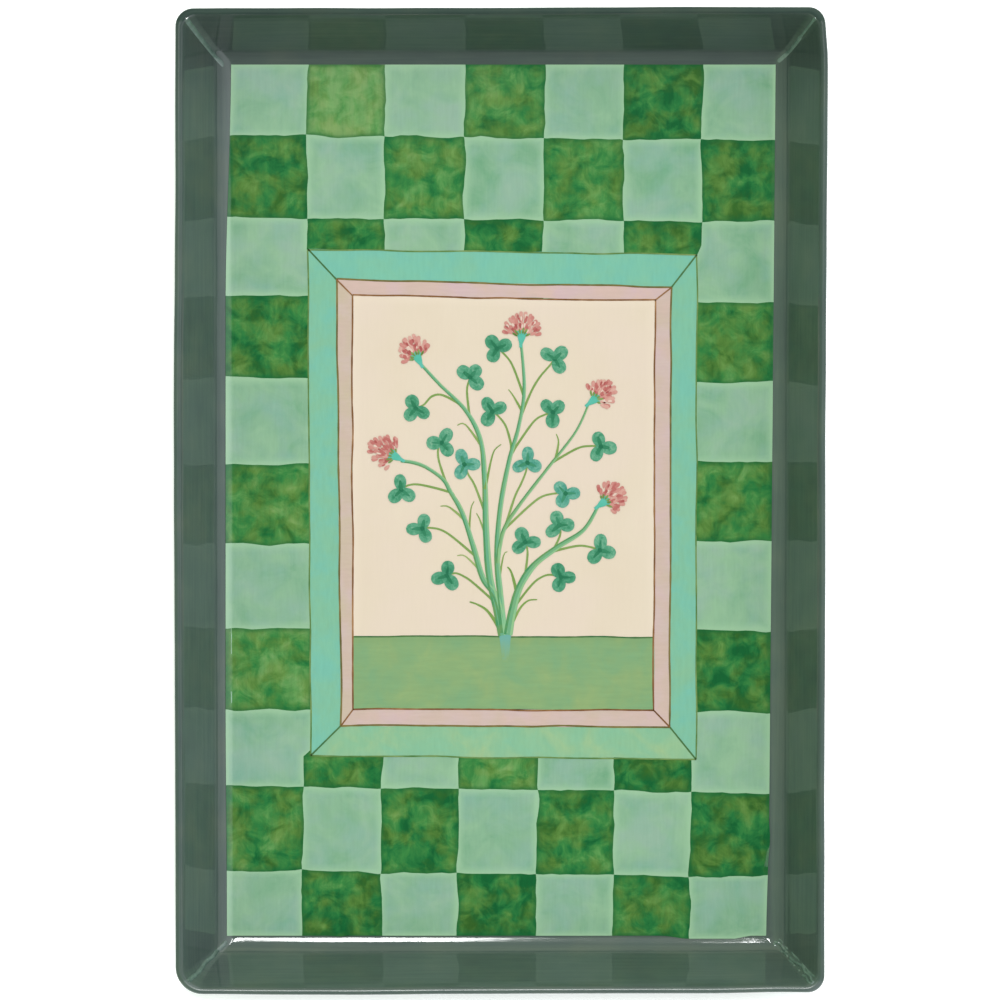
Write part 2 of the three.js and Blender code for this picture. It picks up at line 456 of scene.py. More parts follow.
def iron_lacquer(name, gloss, gloss_roughness, shine=0.2):
    """Sheet iron brushed with grey-green oil lacquer, then varnished: a wet gloss over fine streaks."""
    material, tree = new_material(name)
    sheet = add(tree, "UVMap", uv_map="sheet")
    spot = add(tree, "TexCoord")
    stretched = add(tree, "Mapping", {"Vector": sheet, "Scale": (1 / 30, 1 / 1.1, 1)})
    streaks = add(
        tree, "TexNoise", {"Vector": stretched, "Scale": 1.0, "Detail": 4.0, "Roughness": 0.6}
    )
    clouds = add(
        tree, "TexNoise", {"Vector": spot.outputs["Object"], "Scale": 1 / (16 * MM), "Detail": 3.0}
    )
    body = add(
        tree, "ValToRGB", {"Fac": clouds}, stops=[(0.3, "#35433f"), (0.5, "#3b4b44"), (0.68, "#465247")]
    )
    strokes = add(
        tree,
        "ValToRGB",
        {"Fac": streaks},
        stops=[(0.25, "#33423f"), (0.5, "#3f5048"), (0.75, "#4c5a50")],
    )
    mixed = add(tree, "Mix", {0: 0.45, 6: body, 7: strokes}, data_type="RGBA")
    # The lacquer is painted darker toward the far end: painted shade, as the far wall faces away from the
    # light.
    place = add(tree, "SeparateXYZ", {"Vector": spot.outputs["Object"]})
    far_shade_range = {"From Min": 0.115, "From Max": 0.138, "To Min": 1.0, "To Max": 0.72}
    depth = add(tree, "MapRange", {"Value": place.outputs["Y"], **far_shade_range})
    colour = add(tree, "VectorMath", {0: mixed.outputs[2], 1: depth}, operation="MULTIPLY")
    orange_peel = add(
        tree, "TexNoise", {"Vector": spot.outputs["Object"], "Scale": 1 / (7 * MM), "Detail": 1.5}
    )
    relief = add(tree, "Bump", {"Height": orange_peel, "Strength": 0.12, "Distance": 0.05 * MM})
    brushed = add(
        tree, "Bump", {"Height": streaks, "Strength": 0.35, "Distance": 0.05 * MM, "Normal": relief}
    )
    surface = add(
        tree,
        "BsdfPrincipled",
        {
            "Base Color": colour,
            "Roughness": 0.5,
            "Specular IOR Level": shine,
            "Coat Weight": gloss,
            "Coat Roughness": gloss_roughness,
            "Coat IOR": 1.5,
            "Normal": brushed,
            "Coat Normal": brushed,
        },
    )
    add(tree, "OutputMaterial", {"Surface": surface})
    return material


def lacquered_braze():
    """Brass brazing metal left rough and lacquered with the tray: lumpy and glossy. Its colour is painted
    paler than the iron and palest on the lumps, a painted highlight for the light lines along the ridges.
    """
    material, tree = new_material("lacquer_over_brazed_seam")
    spot = add(tree, "TexCoord")
    bead_lumps_and_sheen = add(
        tree, "TexNoise", {"Vector": spot.outputs["Object"], "Scale": 1 / (2.2 * MM), "Detail": 3.0}
    )
    # Paler on the lumps and paler than the iron: painted highlight along the seam's ridges.
    colour = add(
        tree, "ValToRGB", {"Fac": bead_lumps_and_sheen}, stops=[(0.3, "#3a4f45"), (0.55, "#4a6056"), (0.75, "#5a6f63")]
    )
    relief = add(tree, "Bump", {"Height": bead_lumps_and_sheen, "Strength": 0.5, "Distance": 0.1 * MM})
    surface = add(
        tree,
        "BsdfPrincipled",
        {
            "Base Color": colour,
            "Roughness": 0.35,
            "Specular IOR Level": 0.2,
            "Coat Weight": 1.0,
            "Coat Roughness": 0.05,
            "Coat IOR": 1.75,
            "Normal": relief,
            "Coat Normal": relief,
        },
    )
    add(tree, "OutputMaterial", {"Surface": surface})
    return material


def drawn_wire():
    """Bright drawn steel wire that has dulled in patches: a grey metal, shinier in some places."""
    material, tree = new_material("drawn_steel_wire")
    spot = add(tree, "TexCoord")
    dulling = add(
        tree, "TexNoise", {"Vector": spot.outputs["Object"], "Scale": 1 / (1.5 * MM), "Detail": 4.0}
    )
    colour = add(tree, "ValToRGB", {"Fac": dulling}, stops=[(0.3, "#6f7371"), (0.7, "#a3a7a5")])
    grip = add(tree, "MapRange", {"Value": dulling, "To Min": 0.3, "To Max": 0.55})
    surface = add(tree, "BsdfPrincipled", {"Base Color": colour, "Metallic": 1.0, "Roughness": grip})
    add(tree, "OutputMaterial", {"Surface": surface})
    return material


def gouache(
    name,
    washes,
    cloud,
    cloud_share=1.0,
    tone_share=0.0,
    along_share=0.0,
    other=None,
    other_cloud=30,
    streak=0.0,
    streak_size=(0.8, 9.0),
    edge=None,
    edge_share=0.0,
):
    """Water paint laid on with a brush, under clear lacquer: cloudy washes and streaks beneath a gloss.

    washes are the stops of its colour, and other those of a second wash that comes through in patches.
    The clouds, patches and streaks are sized in millimetres. tone_share says how much each brushed area
    differs from the next and along_share how much it changes along its length, and edge is the colour
    where the paint gathers or thins out.
    """
    material, tree = new_material(name)
    spot = add(tree, "TexCoord")
    brush = add(tree, "Attribute", attribute_name="brush")
    parts = add(tree, "SeparateXYZ", {"Vector": brush.outputs["Vector"]})
    clouds = add(
        tree,
        "TexNoise",
        {
            "Vector": spot.outputs["Object"],
            "Scale": 1 / (cloud * MM),
            "Detail": 5.0,
            "Roughness": 0.6,
            "Distortion": 0.6,
        },
    )
    clouded = add(tree, "Math", {0: clouds, 1: cloud_share}, operation="MULTIPLY")
    toned = add(
        tree, "Math", {0: parts.outputs["Z"], 1: tone_share, 2: clouded}, operation="MULTIPLY_ADD"
    )
    shift = add(
        tree, "Math", {0: parts.outputs["X"], 1: along_share, 2: toned}, operation="MULTIPLY_ADD"
    )
    washed = add(tree, "ValToRGB", {"Fac": shift}, stops=washes)
    colour = washed.outputs[0]
    if other:
        drift = add(tree, "Mapping", {"Vector": spot.outputs["Object"], "Location": (0.31, 0.17, 0.0)})
        patches = add(
            tree,
            "TexNoise",
            {"Vector": drift, "Scale": 1 / (other_cloud * MM), "Detail": 4.0, "Roughness": 0.55},
        )
        covers = {"From Min": 0.42, "From Max": 0.62, "To Min": 0.0, "To Max": 0.85}
        share = add(tree, "MapRange", {"Value": patches, **covers})
        second = add(tree, "ValToRGB", {"Fac": shift}, stops=other)
        blended = add(tree, "Mix", {0: share, 6: colour, 7: second}, data_type="RGBA")
        colour = blended.outputs[2]
    across, along = streak_size
    stretched = add(
        tree,
        "Mapping",
        {"Vector": spot.outputs["Object"], "Scale": (1 / (across * MM), 1 / (along * MM), 1)},
    )
    bristles = add(
        tree, "TexNoise", {"Vector": stretched, "Scale": 1.0, "Detail": 3.0, "Roughness": 0.6}
    )
    uneven = {"From Min": 0.25, "From Max": 0.75, "To Min": 1 - streak, "To Max": 1 + streak}
    strokes = add(tree, "MapRange", {"Value": bristles, **uneven})
    brushed = add(tree, "VectorMath", {0: colour, 1: strokes}, operation="MULTIPLY")
    colour = brushed.outputs[0]
    if edge:
        gathered = add(tree, "Math", {0: parts.outputs["Y"], 1: edge_share}, operation="MULTIPLY")
        rimmed = add(tree, "Mix", {0: gathered, 6: colour, 7: linear(edge)}, data_type="RGBA")
        colour = rimmed.outputs[2]
    surface = add(
        tree,
        "BsdfPrincipled",
        {
            "Base Color": colour,
            "Roughness": 0.55,
            "Specular IOR Level": 0.05,
            "Coat Weight": 1.0,
            "Coat Roughness": 0.05,
            "Coat IOR": 1.5,
        },
    )
    add(tree, "OutputMaterial", {"Surface": surface})
    return material


# ---------------------------------------------------------------- painted films on the floor


STROKE_LIFT = 0.0014  # where strokes of one film overlap, each lies this much higher than the one before
STROKE_CYCLE = 17  # and after so many strokes they start again at the bottom


class Film:
    """Thin closed patches of paint that lie on the floor, gathered into one piece."""

    def __init__(self, layer, thickness=0.02, lift=0.0):
        self.layer = layer
        self.thickness = thickness
        self.lift = lift
        self.patches = 0
        self.corners = []
        self.faces = []
        self.brush = []

    def patch(self, grid):
        """Adds a closed patch from rows of (x, y, brush) points, with brush as (along, edge, tone)."""
        rows, columns = len(grid), len(grid[0])
        first = len(self.corners)
        lift = self.lift * (self.patches % STROKE_CYCLE)
        self.patches += 1
        for depth in (0.0, self.thickness):
            for row in grid:
                for x, y, brush in row:
                    z = floor_height(x, y) + self.layer + lift - depth
                    self.corners.append((x, y, z))
                    self.brush.append(brush)
        under = rows * columns
        for r in range(rows - 1):
            for c in range(columns - 1):
                a = first + r * columns + c
                quad = (a, a + 1, a + columns + 1, a + columns)
                self.faces.append(quad)
                self.faces.append(tuple(v + under for v in reversed(quad)))
        border = [(0, c) for c in range(columns - 1)]
        border += [(r, columns - 1) for r in range(rows - 1)]
        border += [(rows - 1, c) for c in range(columns - 1, 0, -1)]
        border += [(r, 0) for r in range(rows - 1, 0, -1)]
        ring = [first + r * columns + c for r, c in border]
        for a, b in zip(ring, ring[1:] + ring[:1]):
            self.faces.append((b, a, a + under, b + under))

    def make(self, name, material):
        piece = make_object(name, self.corners, self.faces, material, brush=self.brush)
        return piece


# The painter's checks: where their edges run at the far end and at the near end, and from far to near.
CHECK_EDGES_FAR = [-84.8, -59.4, -35.6, -10.6, 13.9, 38.7, 62.8, 85.2]
CHECK_EDGES_NEAR = [-84.8, -61.2, -36.8, -13.4, 11.1, 34.6, 58.4, 82.9]
CHECK_ROWS_LEFT = [134.9, 113.1, 87.6, 63.7, 38.1, 11.2, -13.4, -39.5, -64.7, -88.1, -114.3, -134.4]
CHECK_ROWS_RIGHT = [134.9, 111.5, 86.3, 61.1, 36.3, 12.0, -12.4, -39.9, -65.1, -90.3, -116.1, -134.4]
COLUMNS = len(CHECK_EDGES_FAR) - 1
ROWS = len(CHECK_ROWS_LEFT) - 1
FAR_EDGE, NEAR_EDGE = CHECK_ROWS_LEFT[0], CHECK_ROWS_LEFT[-1]


def check_point(column, row):
    """Where a point of the check pattern lies, counted in checks from its far left corner."""
    whole = min(int(column), COLUMNS - 1)
    far = mix(CHECK_EDGES_FAR[whole], CHECK_EDGES_FAR[whole + 1], column - whole)
    near = mix(CHECK_EDGES_NEAR[whole], CHECK_EDGES_NEAR[whole + 1], column - whole)
    step = min(int(row), ROWS - 1)
    left = mix(CHECK_ROWS_LEFT[step], CHECK_ROWS_LEFT[step + 1], row - step)
    right = mix(CHECK_ROWS_RIGHT[step], CHECK_ROWS_RIGHT[step + 1], row - step)
    y = mix(left, right, column / COLUMNS)
    x = mix(far, near, (FAR_EDGE - y) / (FAR_EDGE - NEAR_EDGE))
    # The print stops short of the fold here and there, and beside the frame its checks run in under it.
    x += max(1 - column, 0) * (1.7 * smooth(60, 138, y) + 0.4 * smooth(60, 130, -y))
    x -= max(column - 6, 0) * 0.6 * smooth(100, 134, -y)
    y -= max(row + 1 - ROWS, 0) * 0.9 * smooth(50, 58, x) * (1 - smooth(73, 77, x))
    beside = smooth(-78.5, -76.5, y) * (1 - smooth(75.5, 77.5, y))
    x += beside * (2.8 * max(1 - abs(column - 1), 0) - 2.2 * max(1 - abs(column - 6), 0))
    return x, y


def edge_stray(x, y, seed):
    """How far a hand-painted edge strays at this place."""
    return 0.55 * waver(x, y, 11, seed) + 0.22 * waver(x, y, 3.5, seed + 9)


# Where a check is cut into steps: finely at its edges, where the paint gathers.
STEPS_IN = [0.0, 0.02, 0.05, 0.1, 0.2, 0.3, 0.4, 0.5, 0.6, 0.7, 0.8, 0.9, 0.95, 0.98, 1.0]


def build_picture_sheet(material):
    """The sheet itself, painted with the pale checks right across."""
    random.seed(11)
    tones = [[random.random() for _ in range(COLUMNS)] for _ in range(ROWS)]
    film = Film(PRINT, PRINT - 0.005)
    down = [row + share for row in range(ROWS) for share in STEPS_IN[:-1]] + [ROWS]
    over = [column + share for column in range(COLUMNS) for share in STEPS_IN[:-1]] + [COLUMNS]
    grid = []
    for r in down:
        line = []
        for c in over:
            x, y = check_point(c, r)
            tone = tones[min(int(r), ROWS - 1)][min(int(c), COLUMNS - 1)]
            away = min(c - int(c), int(c) + 1 - c, r - int(r), int(r) + 1 - r)
            line.append((x, y, (r / ROWS, 1 - smooth(0.0, 0.09, away), tone)))
        grid.append(line[::-1])
    film.patch(grid)
    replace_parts(film.make("picture_sheet_pale_checks", material), "picture_sheet")


PALER_CHECK = (0, 1)
PALER_CHECK_TONE = 1.7


def build_dark_checks(material):
    """Every second check painted over in dark green, each with its own unsteady edges."""
    random.seed(12)
    film = Film(PRINT + 0.02)
    for row in range(ROWS):
        for column in range(COLUMNS):
            tone = PALER_CHECK_TONE if (row, column) == PALER_CHECK else random.random()
            if (row + column) % 2 == 0:
                continue
            grid = []
            for down in STEPS_IN:
                line = []
                for over in STEPS_IN:
                    x, y = check_point(column + over, row + down)
                    edge = 1 - smooth(0.0, 0.07, min(over, 1 - over, down, 1 - down))
                    stray_x = edge_stray(x, y, 1.0) if 0 < column + over < COLUMNS else 0.0
                    stray_y = edge_stray(x, y, 5.0) if 0 < row + down < ROWS else 0.0
                    keep = 1 - smooth(0.0, 0.2, min(over, 1 - over))
                    keep_y = 1 - smooth(0.0, 0.2, min(down, 1 - down))
                    line.append((x + stray_x * keep, y + stray_y * keep_y, (down, edge, tone)))
                grid.append(line[::-1])
            film.patch(grid)
    film.make("paint_dark_checks", material)


# The painted frame's corners, clockwise from the far left: outer edge, the line inside it, and the
# picture's own edge.
MINT_OUTER = [(-59.3, 77.8), (60.9, 76.2), (60.6, -79.9), (-58.5, -78.7)]
PINK_OUTER = [(-50.6, 68.5), (52.9, 65.9), (52.5, -69.9), (-49.0, -69.3)]
PICTURE_EDGE = [(-45.7, 63.6), (47.9, 62.0), (47.5, -64.7), (-45.3, -64.3)]
FRAME_SIDES = ["far", "right", "near", "left"]
GROUND_LEFT, GROUND_RIGHT, GROUND_NEAR = -45.3, 47.6, -64.5


def frame_strip(film, outer, inner, side, seed, tone):
    """One mitred strip of the painted frame."""
    a, b = outer[side], outer[(side + 1) % 4]
    c, d = inner[side], inner[(side + 1) % 4]
    long = 60
    grid = []
    for i in range(long + 1):
        share = i / long
        line = []
        for j in range(9):
            inward = j / 8
            x = mix(mix(a[0], b[0], share), mix(c[0], d[0], share), inward)
            y = mix(mix(a[1], b[1], share), mix(c[1], d[1], share), inward)
            wander = 0.3 * waver(x, y, 14, seed)
            edge = 1 - smooth(0.0, 0.25, min(inward, 1 - inward))
            line.append((x + wander, y + wander, (share, edge, tone)))
        grid.append(line)
    film.patch(grid)


def build_frame(name, outer, inner, layer, material, seed, tones):
    for side, word in enumerate(FRAME_SIDES):
        film = Film(layer)
        frame_strip(film, outer, inner, side, seed, tones[side])
        film.make(f"{name}_{word}", material)


def bilinear(corners, across, down):
    (ax, ay), (bx, by), (cx, cy), (dx, dy) = corners
    x = mix(mix(ax, bx, across), mix(dx, cx, across), down)
    y = mix(mix(ay, by, across), mix(dy, cy, across), down)
    return x, y


def build_cream_field(material):
    film = Film(PRINT + 0.04)
    grid = []
    for i in range(41):
        line = []
        for j in range(31):
            x, y = bilinear(PICTURE_EDGE, j / 30, i / 40)
            away = min(x + 45.5, 47.7 - x, 62.8 - y, y + 64.5)
            line.append((x, y, (i / 40, 1 - smooth(0.0, 3.0, away), 0.5)))
        grid.append(line[::-1])
    film.patch(grid)
    film.make("paint_cream_field", material)


def horizon(x):
    """Height of the painted ground's edge across the picture."""
    return -42.0 + 0.35 * waver(x, 0, 16, 2.2) - 0.012 * max(x - 30, 0) - 0.01 * max(-30 - x, 0)


def build_ground(material):
    film = Film(PRINT + 0.06)
    grid = []
    for i in range(61):
        across = i / 60
        x = mix(GROUND_LEFT, GROUND_RIGHT, across)
        line = []
        for j in range(13):
            down = j / 12
            y = mix(horizon(x), GROUND_NEAR, down)
            line.append((x, y, (across, 1 - smooth(0.0, 0.12, down), 0.5)))
        grid.append(line)
    film.patch(grid)
    film.make("paint_ground", material)


def curve_through(points, step):
    """A smooth path through the drawn points, cut into short steps."""
    ends = [points[0], *points, points[-1]]
    path = []
    for p0, p1, p2, p3 in zip(ends, ends[1:], ends[2:], ends[3:]):
        pieces = max(2, round(math.dist(p1, p2) / step))
        for i in range(pieces):
            t = i / pieces
            point = []
            for a, b, c, d in zip(p0, p1, p2, p3):
                bend = 2 * a - 5 * b + 4 * c - d
                twist = 3 * b - a - 3 * c + d
                point.append((2 * b + (c - a) * t + bend * t * t + twist * t**3) / 2)
            path.append(tuple(point))
    path.append(points[-1])
    return path


def ribbon(film, points, width, tone=0.5, step=0.6, across=4, aside=0.0):
    """A brushed line along the drawn points.

    width gives its width in millimetres along its length, and aside moves it off the drawn line by a
    share of that width.
    """
    path = curve_through(points, step)
    last = len(path) - 1
    grid = []
    for i, (x, y) in enumerate(path):
        before, after = path[max(i - 1, 0)], path[min(i + 1, last)]
        run = math.dist(before, after) or 1.0
        side = ((before[1] - after[1]) / run, (after[0] - before[0]) / run)
        wide = width(i / last)
        line = []
        for j in range(across + 1):
            place = 2 * j / across - 1
            reach = wide * (place / 2 + aside)
            line.append((x + side[0] * reach, y + side[1] * reach, (i / last, place * place, tone)))
        grid.append(line[::-1])
    film.patch(grid)


def ink_width(width, seed):
    return lambda share: width * (1 + 0.3 * noise.noise(Vector((share * 40, seed, 0))))


def ink_rectangle(film, corners, width, seed):
    for side in range(4):
        a, b = corners[side], corners[(side + 1) % 4]
        points = []
        steps = 12
        for i in range(steps + 1):
            x, y = mix(a[0], b[0], i / steps), mix(a[1], b[1], i / steps)
            points.append((x + 0.3 * waver(x, y, 14, seed), y + 0.3 * waver(x, y, 14, seed)))
        ribbon(film, points, ink_width(width, seed + side), step=1.0, across=2)


def build_ink(mint_ink, green_ink, brown_ink, dark_ink):
    """The pen lines: round and across the frames, and along the edge of the ground."""
    outside = Film(PRINT + 0.10)
    ink_rectangle(outside, MINT_OUTER, 0.45, 21)
    outside.make("ink_mint_frame", mint_ink)
    mitres = Film(PRINT + 0.10)
    for outer, inner in zip(MINT_OUTER, PINK_OUTER):
        ribbon(mitres, [outer, inner], ink_width(0.5, 3), step=0.8, across=2)
    mitres.make("ink_mint_mitres", green_ink)
    between = Film(PRINT + 0.11)
    ink_rectangle(between, PINK_OUTER, 0.55, 21)
    between.make("ink_between_frames", dark_ink)
    inside = Film(PRINT + 0.12)
    ink_rectangle(inside, PICTURE_EDGE, 0.5, 33)
    for outer, inner in zip(PINK_OUTER, PICTURE_EDGE):
        ribbon(inside, [outer, inner], ink_width(0.45, 7), step=0.8, across=2)
    inside.make("ink_pink_frame", brown_ink)
    edge = Film(PRINT + 0.09)
    across = [mix(GROUND_LEFT, GROUND_RIGHT, i / 24) for i in range(25)]
    ribbon(edge, [(x, horizon(x)) for x in across], ink_width(0.45, 12), step=1.0, across=2)
    edge.make("ink_horizon", green_ink)


# ---------------------------------------------------------------- the painted clover

# The clover is drawn in millimetres from its foot on the painted ground, with y towards the far end.
FOOT = (1.6, -41.8)

# Stems from the left, each from the flower down to the root: its width at the tip and at the root, its
# tone and its points.
STEMS = [
    (0.9, 2.1, 0.45, [(-32.3, 54.2), (-28.5, 53.7), (-24.4, 52.2), (-19.2, 48.5), (-16.9, 44.6),
                      (-13.3, 38.2), (-9.9, 27.9), (-6.9, 18.0), (-3.0, 12.6), (-1.2, 6.0), (-0.6, 1.0)]),
    (0.8, 2.5, 0.35, [(-26.1, 84.2), (-20.2, 77.8), (-12.3, 69.9), (-7.6, 60.5), (-6.3, 47.5),
                      (-5.9, 32.3), (-4.9, 19.0), (-2.6, 8.6), (-0.9, 0.2)]),
    (0.8, 2.0, 0.4, [(4.9, 91.1), (5.9, 76.3), (4.2, 64.9), (1.2, 54.1), (-1.5, 39.7), (-2.5, 24.9),
                     (-1.5, 12.6), (-0.2, 1.0)]),
    (0.6, 1.3, 0.75, [(25.9, 71.9), (21.7, 63.0), (13.3, 52.1), (4.9, 41.2), (0.0, 33.8), (-1.7, 27.6),
                      (-2.3, 22.5)]),
    (0.9, 2.7, 0.5, [(28.8, 40.2), (24.2, 32.8), (16.3, 27.6), (8.9, 21.9), (4.4, 15.0), (2.1, 7.1),
                     (0.9, 0.4)]),
]

# Leaves: the middle, the headings of the three lobes in degrees, the tone, and the stalk to the stem.
LEAVES = [
    ((-27.6, 70.4), (121, 228, 326), 0.40, [(-25.1, 71.6), (-22.7, 74.1), (-19.7, 74.6),
                                            (-15.3, 72.5), (-13.2, 70.8)]),
    ((-10.8, 80.0), (139, 48, -38), 0.50, [(-11.8, 76.0), (-11.0, 68.0)]),
    ((-2.5, 88.9), (126, 27, 246), 0.22, [(-0.7, 87.6), (2.0, 84.2), (4.6, 77.6), (5.7, 74.2)]),
    ((15.3, 85.7), (146, 48, -55), 0.50, [(13.8, 83.7), (10.8, 80.2), (8.4, 76.3),
                                          (5.9, 70.6), (4.9, 67.8)]),
    ((-3.9, 69.4), (119, 29, 239), 0.35, [(-2.0, 67.9), (0.2, 64.9), (1.7, 59.8), (1.9, 56.6)]),
    ((14.8, 69.2), (131, 45, -90), 0.50, [(12.1, 68.4), (8.9, 66.4), (4.0, 59.6), (1.9, 56.2)]),
    ((-19.6, 59.8), (180, 58, -54), 0.60, [(-20.7, 58.0), (-20.5, 54.3), (-18.6, 48.4), (-17.6, 46.0)]),
    ((-12.6, 53.1), (108, 0, 243), 0.90, [(-11.3, 49.8), (-9.4, 46.6), (-6.4, 38.6)]),
    ((29.6, 58.6), (110, -4, 243), 0.50, [(26.4, 58.8), (22.2, 58.0), (14.4, 53.6)]),
    ((6.9, 53.6), (90, 207, -22), 0.95, [(6.4, 50.8), (4.9, 47.1), (3.0, 43.1),
                                         (0.4, 35.2), (-0.9, 31.4)]),
    ((-32.1, 45.2), (97, 222, 328), 0.45, [(-30.1, 46.6), (-26.1, 46.8), (-17.3, 44.6), (-15.9, 43.4)]),
    ((18.7, 44.1), (130, 5, 243), 0.90, [(15.3, 44.1), (11.3, 43.1), (7.4, 40.2),
                                         (1.2, 34.4), (-0.5, 32.6)]),
    ((-25.6, 33.3), (180, 80, -67), 0.50, [(-23.2, 33.5), (-19.7, 32.8), (-15.8, 30.3), (-8.6, 24.2)]),
    ((16.8, 34.3), (106, 0, 216), 0.55, [(17.0, 31.3), (14.6, 26.0)]),
    ((6.2, 29.1), (119, 0, 221), 0.60, [(6.9, 26.4), (6.7, 22.9), (6.0, 18.0)]),
    ((29.3, 26.6), (85, -18, 225), 0.50, [(26.1, 27.6), (22.2, 27.9), (15.0, 26.2), (13.0, 25.0)]),
    ((-18.0, 18.7), (84, 193, -56), 0.15, [(-15.5, 19.5), (-12.8, 18.5), (-9.9, 16.5),
                                           (-3.9, 11.1), (-2.4, 8.6)]),
    ((17.3, 18.2), (112, 0, 250), 0.15, [(13.8, 19.0), (10.8, 18.0), (7.9, 15.5),
                                         (3.2, 9.4), (1.8, 6.4)]),
]

# Small blades, from the tip down, with their widest place in millimetres and their tone.
BLADES = [
    ([(-11.0, 10.6), (-8.8, 9.9), (-5.9, 8.2), (-3.5, 5.2), (-1.0, 0.9)], 1.3, 0.3),
    ([(9.9, 11.3), (7.4, 11.1), (5.4, 9.6), (3.7, 7.1), (1.4, 2.4)], 1.1, 0.45),
    ([(-8.9, 38.0), (-7.9, 36.2), (-6.2, 31.6)], 0.8, 0.5),
    ([(-9.6, 41.7), (-10.6, 39.2), (-11.2, 31.8)], 0.8, 0.4),
    ([(-20.0, 40.2), (-17.3, 39.9), (-12.8, 36.2)], 0.9, 0.6),
    ([(-14.8, 24.9), (-12.3, 24.7), (-7.6, 20.2)], 0.8, 0.8),
    ([(0.7, 26.1), (-0.5, 24.9), (-1.9, 17.2)], 0.8, 0.5),
    ([(0.7, 21.4), (2.0, 19.5), (3.9, 12.4)], 1.3, 0.25),
    ([(-14.8, 65.2), (-12.3, 65.4), (-7.7, 59.4)], 0.9, 0.6),
    ([(1.0, 76.3), (2.5, 74.3), (5.2, 69.6)], 0.9, 0.5),
    ([(-1.2, 59.3), (-3.2, 57.6), (-4.4, 54.1), (-6.2, 45.4)], 0.9, 0.3),
    ([(15.8, 62.5), (16.5, 60.0), (15.7, 55.2)], 0.9, 0.5),
]

# Flower heads: where the stem ends, which way the head looks, its height above the stem's end, its
# spread, and how deep its pinks are.
HEADS = [
    {"stem_end": (-26.1, 84.2), "heading": 117, "height": 8.6, "spread": 9.4, "depth": 0.05},
    {"stem_end": (4.9, 90.6), "heading": 85, "height": 8.9, "spread": 11.0, "depth": 0.15},
    {"stem_end": (25.9, 71.9), "heading": 38, "height": 8.8, "spread": 9.4, "depth": 0.1},
    {"stem_end": (-32.3, 54.7), "heading": 152, "height": 10.2, "spread": 9.8, "depth": 0.3},
    {"stem_end": (28.8, 40.2), "heading": 36, "height": 9.2, "spread": 9.6, "depth": 0.2},
]


def on_plant(points):
    return [(FOOT[0] + x, FOOT[1] + y) for x, y in points]


def from_point(start, heading, reach):
    angle = math.radians(heading)
    return start[0] + reach * math.cos(angle), start[1] + reach * math.sin(angle)


def brushed_width(first, last, seed):
    """The width of a stem that swells from its tip to its root under a slightly unsteady brush."""
    return lambda share: mix(first, last, share) * (1 + 0.12 * noise.noise(Vector((share * 9, seed, 0))))


def drop_width(width, fullest=0.5):
    """The width of a leaf, a petal or a blade, pointed at both ends and fullest part of the way along."""
    bend = math.log(0.5) / math.log(fullest)
    return lambda share: 0.04 + width * math.sin(math.pi * share**bend) ** 0.55


def build_stems(stem, highlight, outline):
    """Each stem is a full stroke with a darker one down its left side and a light one down its right."""
    body, light, line = (Film(PRINT + layer, lift=STROKE_LIFT) for layer in (0.14, 0.17, 0.17))
    for seed, (tip, root, tone, drawn) in enumerate(STEMS):
        points = on_plant(drawn)
        full = brushed_width(tip, root, seed)
        ribbon(body, points, full, tone)
        ribbon(line, points, lambda share, full=full: 0.3 * full(share), tone, aside=-1.2)
        ribbon(light, points, lambda share, full=full: 0.26 * full(share), tone, aside=1.3)
    body.make("clover_stems", stem)
    line.make("clover_stem_shadows", outline)
    light.make("clover_stem_lights", highlight)


def build_root(wisp):
    """A wet smear of the stems' blue-green that runs out into the ground."""
    film = Film(PRINT + 0.11, lift=STROKE_LIFT)
    for place, length, width in ((0.0, 8.0, 3.4), (-0.7, 6.5, 1.6), (0.9, 7.2, 1.5)):
        ribbon(film, on_plant([(place, 0.6), (place, -0.5 * length), (0.8 * place, -length)]),
               lambda share, width=width: width * (1.15 - 0.75 * share), tone=0.1)
    film.make("clover_root_wash", wisp)


def build_stalks_and_blades(stalk, blade):
    stalks, blades = Film(PRINT + 0.10, lift=STROKE_LIFT), Film(PRINT + 0.13, lift=STROKE_LIFT)
    for number, (middle, _, tone, points) in enumerate(LEAVES):
        width = brushed_width(0.55, 0.8, number)
        ribbon(stalks, on_plant([middle, *points]), width, 0.3 + 0.4 * tone)
    for number, (points, width, tone) in enumerate(BLADES):
        ribbon(blades, on_plant(points), brushed_width(0.3 * width, width, number), tone)
    stalks.make("clover_leaf_stalks", stalk)
    blades.make("clover_blades", blade)


def build_leaves(leaf, teal_leaf, vein):
    """Each leaf has three lobes with a vein down each, and two dark touches at the middle."""
    random.seed(41)
    green, teal, veins = (Film(PRINT + layer, lift=STROKE_LIFT) for layer in (0.20, 0.20, 0.23))
    for middle, headings, tone, _ in LEAVES:
        (centre,) = on_plant([middle])
        lobes = teal if tone > 0.8 else green
        for heading in headings:
            tilt = random.uniform(-5, 5)
            long = random.uniform(4.5, 5.1)
            start = from_point(centre, heading, -0.1)
            bend = from_point(centre, heading + tilt, 0.5 * long)
            tip = from_point(centre, heading, long)
            shade = tone + random.uniform(-0.15, 0.15)
            ribbon(lobes, [start, bend, tip], drop_width(random.uniform(3.6, 4.3), 0.52), shade, 0.35, 8)
            end = from_point(centre, heading + tilt, random.uniform(0.5, 0.72) * long)
            ribbon(veins, [start, bend, end], drop_width(random.uniform(0.7, 1.25), 0.3), shade, 0.4)
        for heading in (headings[0] + 60, headings[1] + 90):
            ribbon(veins, [from_point(centre, heading, -0.8), from_point(centre, heading, 0.8)],
                   drop_width(1.1), 0.0, 0.4)
    green.make("clover_leaves_green", leaf)
    teal.make("clover_leaves_teal", teal_leaf)
    veins.make("clover_leaf_veins", vein)


# Rings of petals in a flower head: how far out each lies as a share of the spread, and its petals.
PETAL_RINGS = ((0.12, 3), (0.42, 7), (0.72, 10), (0.97, 14))


